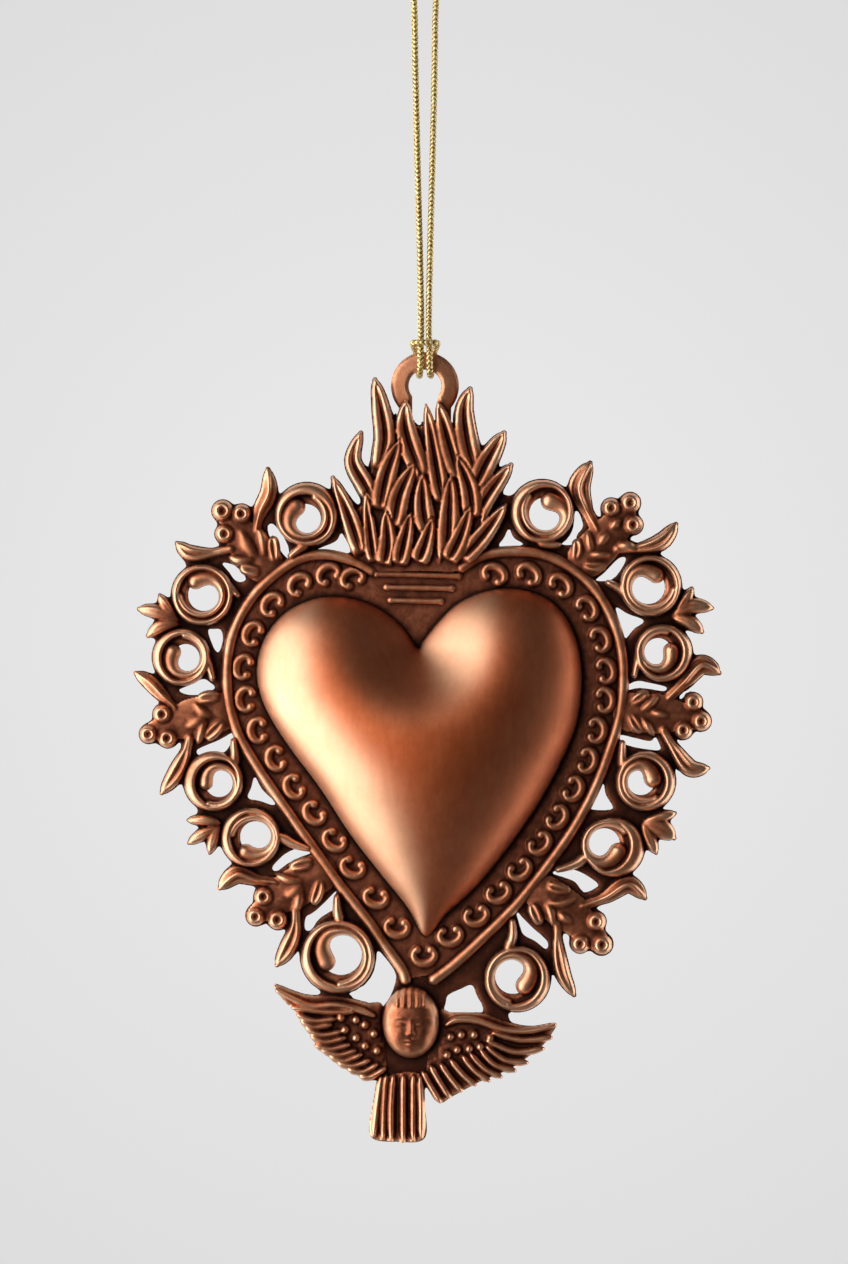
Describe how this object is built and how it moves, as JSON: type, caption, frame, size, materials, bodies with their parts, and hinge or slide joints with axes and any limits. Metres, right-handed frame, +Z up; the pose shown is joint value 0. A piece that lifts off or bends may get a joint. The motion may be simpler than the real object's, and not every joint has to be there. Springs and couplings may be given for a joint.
{
  "type": "heart ornament",
  "caption": "Pierced copper votive heart ornament with a puffed heart, flames, scrolls, grape sprays and a winged cherub, hung by a ring on a doubled cord.",
  "frame": {"origin": "where the cord loop hangs, on the underside of its top bend, straight above the middle of the ring's band", "axes": "+Z up, the front of the ornament faces -Y, +X is to the right as the front is seen"},
  "size_m": [0.1053, 0.0158, 0.2116],
  "materials": {
    "dark_copper": "patinated copper, dark in the recesses",
    "antique_copper": "antique copper, rubbed bright on the ridges",
    "satin_copper": "satin copper with a fine mottled grain",
    "gold_cord": "braided metallic thread"
  },
  "bodies": {
    "cord": {"hanging_cord": "gold_cord"},
    "knot": {"larks_head_knot": "gold_cord"},
    "ornament": {"pierced_back_plate": "dark_copper", "curl_border": "antique_copper", "rim_bead_left": "antique_copper", "rim_bead_right": "antique_copper", "heart_shell": "satin_copper", "flame_crest": "antique_copper", "crown_bar_top": "antique_copper", "crown_bar_middle": "antique_copper", "crown_bar_bottom": "antique_copper", "hanging_ring": "satin_copper", "scroll_left_1": "antique_copper", "scroll_left_2": "antique_copper", "scroll_left_3": "antique_copper", "scroll_left_4": "antique_copper", "scroll_left_5": "antique_copper", "scroll_left_6": "antique_copper", "scroll_right_1": "antique_copper", "scroll_right_2": "antique_copper", "scroll_right_3": "antique_copper", "scroll_right_4": "antique_copper", "scroll_right_5": "antique_copper", "scroll_right_6": "antique_copper", "grape_spray_left_1": "antique_copper", "grape_spray_left_2": "antique_copper", "grape_spray_left_3": "antique_copper", "grape_spray_right_1": "antique_copper", "grape_spray_right_2": "antique_copper", "grape_spray_right_3": "antique_copper", "palmette_left_1": "antique_copper", "palmette_left_2": "antique_copper", "palmette_right_1": "antique_copper", "palmette_right_2": "antique_copper", "cherub_head": "antique_copper", "wing_left": "antique_copper", "wing_right": "antique_copper", "tail_feathers": "antique_copper"}
  },
  "joints": [
    {"name": "cord_twist", "type": "hinge", "parent": "cord", "child": "knot", "pos_m": [0, 0, -0.062], "axis": [0, 0, 1], "range_deg": [-180, 180]},
    {"name": "ring_tilt", "type": "hinge", "parent": "knot", "child": "ornament", "pos_m": [0, 0, -0.07], "axis": [1, 0, 0], "range_deg": [-75, 75]}
  ]
}
